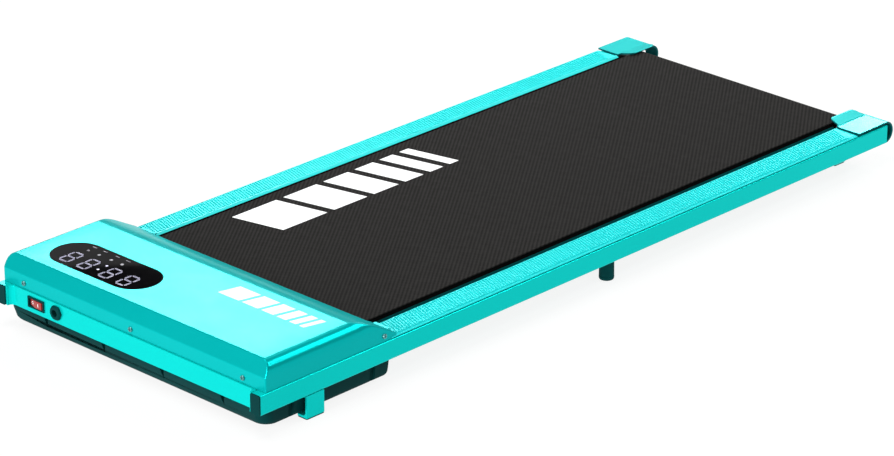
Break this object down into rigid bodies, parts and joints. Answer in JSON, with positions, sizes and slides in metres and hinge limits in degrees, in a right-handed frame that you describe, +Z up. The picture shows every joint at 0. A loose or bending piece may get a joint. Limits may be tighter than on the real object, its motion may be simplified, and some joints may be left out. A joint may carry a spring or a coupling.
{
  "type": "treadmill",
  "caption": "Low under-desk walking treadmill: belt deck between two side rails, wedge-nosed motor hood with display window, rocker power switch and round power inlet.",
  "frame": {"origin": "on the floor, under the middle of the machine's length and width", "axes": "+X to the left hand of a person who walks on the belt, +Y from the motor hood to the rear end, +Z up"},
  "size_m": [0.5, 1.262, 0.101],
  "materials": {
    "turquoise_paint": "satin metallic turquoise powder coat",
    "strip_plastic": "ribbed turquoise moulding, smooth beads along its edges",
    "black_plastic": "fine moulded grain, satin",
    "black_rubber": "matt",
    "belt_fabric": "black running belt with fine embossed diamond grain",
    "bright_steel": "turned and zinc plated",
    "dark_steel": "black oxide",
    "bare_aluminium": "extruded",
    "deck_wood": "fibreboard with a dark low-friction laminate",
    "display_glass": "polished black acrylic with printed segments",
    "circuit_board": "green solder mask",
    "red_plastic": "polished"
  },
  "bodies": {
    "frame": {"left_side_rail": "turquoise_paint", "right_side_rail": "turquoise_paint", "front_crossmember": "turquoise_paint", "front_cross_tube": "turquoise_paint", "middle_cross_tube": "turquoise_paint", "rear_cross_tube": "turquoise_paint", "motor_mount": "turquoise_paint", "left_front_leg": "turquoise_paint", "right_front_leg": "turquoise_paint", "left_rear_leg": "turquoise_paint", "right_rear_leg": "turquoise_paint", "left_rear_cap": "turquoise_paint", "right_rear_cap": "turquoise_paint", "motor_hood": "turquoise_paint", "left_foot_strip": "strip_plastic", "right_foot_strip": "strip_plastic", "left_rail_plug": "black_plastic", "right_rail_plug": "black_plastic", "belly_pan": "black_plastic", "switch_housing": "black_plastic", "cord_gland": "black_plastic", "left_front_leg_pad": "black_rubber", "right_front_leg_pad": "black_rubber", "left_middle_foot": "black_rubber", "right_middle_foot": "black_rubber", "left_rear_leg_pad": "black_rubber", "right_rear_leg_pad": "black_rubber", "deck_cushion_front": "black_rubber", "deck_cushion_middle": "black_rubber", "deck_cushion_rear": "black_rubber", "drive_belt": "black_rubber", "running_belt": "belt_fabric", "hood_screw_front_left": "bright_steel", "hood_screw_front_centre": "bright_steel", "hood_screw_front_right": "bright_steel", "hood_screw_side_left": "bright_steel", "hood_screw_side_right": "bright_steel", "front_axle": "dark_steel", "left_front_axle_bracket": "dark_steel", "right_front_axle_bracket": "dark_steel", "left_rear_axle_block": "dark_steel", "right_rear_axle_block": "dark_steel", "motor_body": "dark_steel", "heat_sink": "bare_aluminium", "deck_board": "deck_wood", "display_window": "display_glass", "display_board": "circuit_board", "control_board": "circuit_board"},
    "front_roller": {"front_roller": "bright_steel", "front_roller_pulley": "black_plastic", "front_left_bearing": "bright_steel", "front_right_bearing": "bright_steel"},
    "rear_axle": {"rear_axle": "dark_steel"},
    "rear_roller": {"rear_roller": "bright_steel", "rear_left_bearing": "bright_steel", "rear_right_bearing": "bright_steel"},
    "left_tension_bolt": {"left_tension_bolt": "bright_steel"},
    "right_tension_bolt": {"right_tension_bolt": "bright_steel"},
    "motor_rotor": {"motor_rotor": "bright_steel"},
    "switch_rocker": {"switch_rocker": "red_plastic"}
  },
  "joints": [
    {"name": "front_roller_spin", "type": "hinge", "parent": "frame", "child": "front_roller", "pos_m": [0, -0.461, 0.0457], "axis": [-1, 0, 0], "continuous": true},
    {"name": "rear_tension_slide", "type": "slide", "parent": "frame", "child": "rear_axle", "axis": [0, 1, 0], "range_m": [-0.006, 0]},
    {"name": "rear_roller_spin", "type": "hinge", "parent": "rear_axle", "child": "rear_roller", "pos_m": [0, 0.581, 0.0457], "axis": [-1, 0, 0], "continuous": true},
    {"name": "left_tension_bolt_turn", "type": "hinge", "parent": "frame", "child": "left_tension_bolt", "pos_m": [0.226, 0.581, 0.0457], "axis": [0, 1, 0], "range_deg": [0, 2160.5]},
    {"name": "right_tension_bolt_turn", "type": "hinge", "parent": "frame", "child": "right_tension_bolt", "pos_m": [-0.226, 0.581, 0.0457], "axis": [0, 1, 0], "range_deg": [0, 2160.5]},
    {"name": "motor_spin", "type": "hinge", "parent": "frame", "child": "motor_rotor", "pos_m": [0, -0.568, 0.048], "axis": [-1, 0, 0], "continuous": true},
    {"name": "power_rocker", "type": "hinge", "parent": "frame", "child": "switch_rocker", "pos_m": [-0.181, -0.6175, 0.0478], "axis": [0, 0, 1], "range_deg": [0, 16]}
  ],
  "couplings": [
    {"joint": "motor_spin", "follows": "front_roller_spin", "ratio": 3.5556},
    {"joint": "rear_roller_spin", "follows": "front_roller_spin", "ratio": 1},
    {"joint": "left_tension_bolt_turn", "follows": "rear_tension_slide", "rad_per_m": -6283.2},
    {"joint": "right_tension_bolt_turn", "follows": "rear_tension_slide", "rad_per_m": -6283.2}
  ]
}
